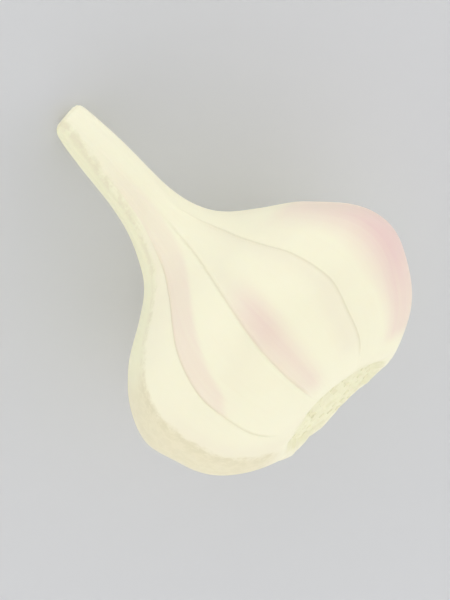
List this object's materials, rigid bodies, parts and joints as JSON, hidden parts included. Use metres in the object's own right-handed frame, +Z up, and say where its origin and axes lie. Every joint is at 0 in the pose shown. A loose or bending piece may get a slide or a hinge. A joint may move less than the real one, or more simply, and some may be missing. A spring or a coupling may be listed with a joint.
{
  "type": "garlic bulb",
  "caption": "Whole garlic bulb lying on its side: cloves bulging under papery skin, a long trimmed neck, and a root plate with cut roots. Food, kitchen or market prop.",
  "frame": {"origin": "on the surface that the bulb lies on, under the middle of its bounding box", "axes": "+X along the longest horizontal extent, from the tip of the neck towards the root plate; +Z up"},
  "size_m": [0.0732, 0.06, 0.0549],
  "materials": {
    "garlic_skin": "matte",
    "root_cork": "matte"
  },
  "bodies": {
    "root": {"garlic_bulb": "garlic_skin"}
  },
  "joints": []
}
